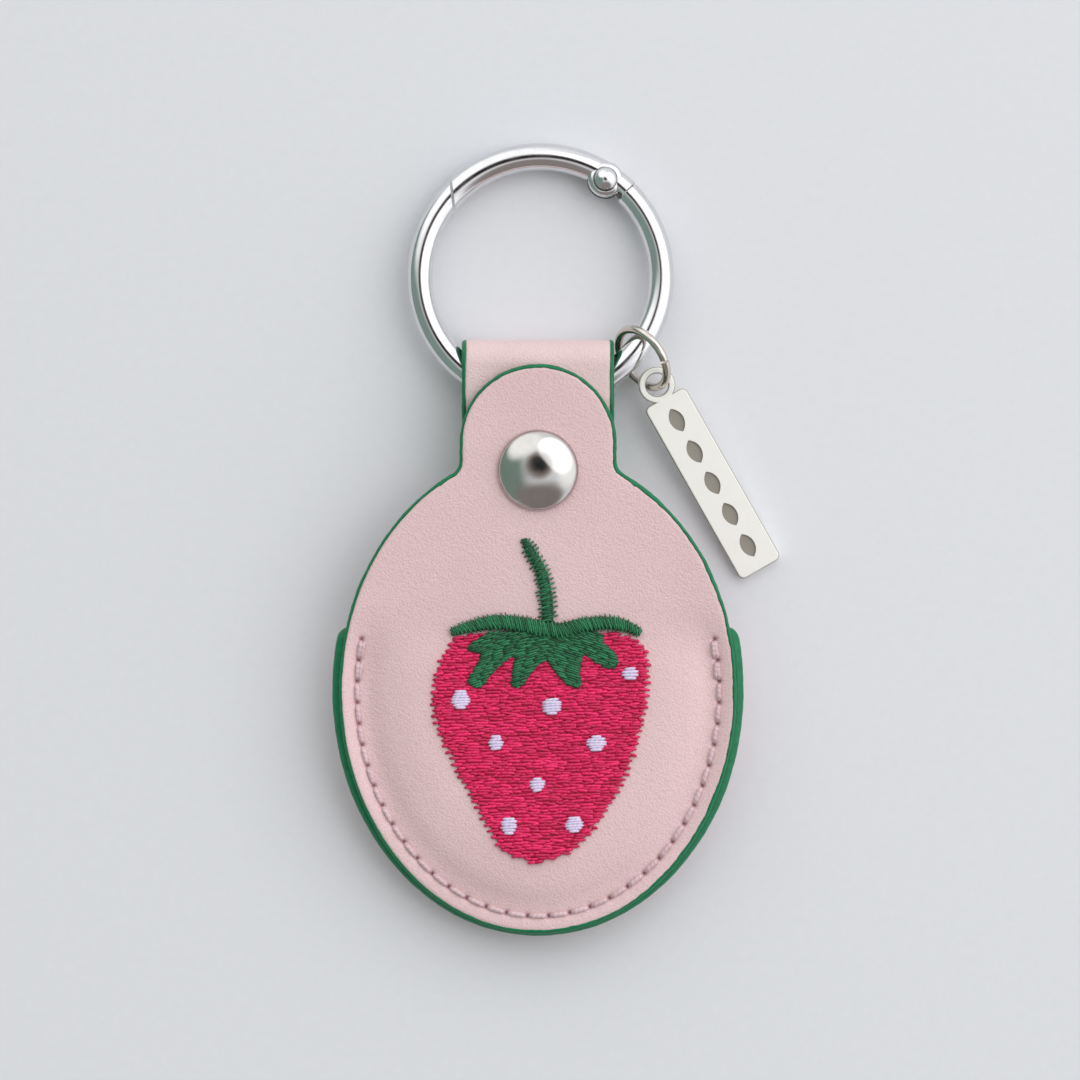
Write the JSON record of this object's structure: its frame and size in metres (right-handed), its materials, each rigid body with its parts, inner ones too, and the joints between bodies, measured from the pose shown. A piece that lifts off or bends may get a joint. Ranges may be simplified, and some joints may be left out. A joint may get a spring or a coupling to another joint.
{
  "type": "key pouch with spring-gate ring",
  "caption": "Snap-closed leather key pouch with an embroidered strawberry and painted edges, on a spring-gate ring with a small bar charm.",
  "frame": {"origin": "centre of the pouch's flat back face", "axes": "+Y runs up the pouch to the ring, +Z out of the embroidered front, +X to the charm's side"},
  "size_m": [0.0586, 0.104, 0.0108],
  "materials": {
    "pink_leather": "fine-grained, low satin",
    "strap_leather": "fine-grained, low satin",
    "lining": "matt",
    "backing": "matt",
    "edge_paint": "satin",
    "pink_thread": "silky",
    "berry_thread": "silky",
    "seed_thread": "silky",
    "green_thread": "silky",
    "snap_metal": "polished",
    "ring_metal": "polished",
    "spring_steel": "drawn",
    "charm_metal": "satin plate"
  },
  "bodies": {
    "pouch": {"back_panel": "pink_leather", "back_lining": "lining", "back_edge_paint": "edge_paint", "front_panel": "pink_leather", "front_lining": "lining", "front_edge_paint": "edge_paint", "embroidery_backing": "backing", "seam_thread": "pink_thread", "berry_embroidery": "berry_thread", "seed_embroidery": "seed_thread", "calyx_leaves": "green_thread", "calyx_band": "green_thread", "strap": "strap_leather", "strap_edge_paint": "edge_paint", "snap_post": "snap_metal", "snap_stud": "snap_metal"},
    "flap": {"flap_panel": "pink_leather", "flap_lining": "lining", "flap_edge_paint": "edge_paint", "stem_embroidery": "green_thread", "snap_cap": "snap_metal", "snap_socket": "snap_metal", "snap_spring": "spring_steel"},
    "ring": {"ring_body": "ring_metal", "gate_pin": "ring_metal"},
    "gate": {"ring_gate": "ring_metal", "gate_spring": "spring_steel"},
    "link": {"jump_ring": "charm_metal"},
    "charm": {"charm_bar": "charm_metal"}
  },
  "joints": [
    {"name": "flap_fold", "type": "hinge", "parent": "pouch", "child": "flap", "pos_m": [0, 0.0106, 0.0084], "axis": [1, 0, 0], "range_deg": [0, 110], "stiffness_Nm_per_rad": 0.0008},
    {"name": "ring_swing", "type": "hinge", "parent": "pouch", "child": "ring", "pos_m": [0, 0.0403, 0.00395], "axis": [1, 0, 0], "range_deg": [-20, 50], "deforming": ["strap", "strap_edge_paint"]},
    {"name": "gate_hinge", "type": "hinge", "parent": "ring", "child": "gate", "pos_m": [0.00884, 0.06683, 0.00214], "axis": [0, 0.0732, 0.9973], "range_deg": [0, 40], "stiffness_Nm_per_rad": 0.01, "springref_deg": -28.65, "deforming": ["gate_spring"]},
    {"name": "jump_ring_swing", "type": "hinge", "parent": "ring", "child": "link", "pos_m": [0.01172, 0.04318, 0.00388], "axis": [-0.6947, -0.7174, 0.0527], "range_deg": [-15, 75]},
    {"name": "charm_swing", "type": "hinge", "parent": "link", "child": "charm", "pos_m": [0.01555, 0.03995, 0.00365], "axis": [0.0526, -0.0923, 0.9943], "range_deg": [-5, 60]}
  ]
}
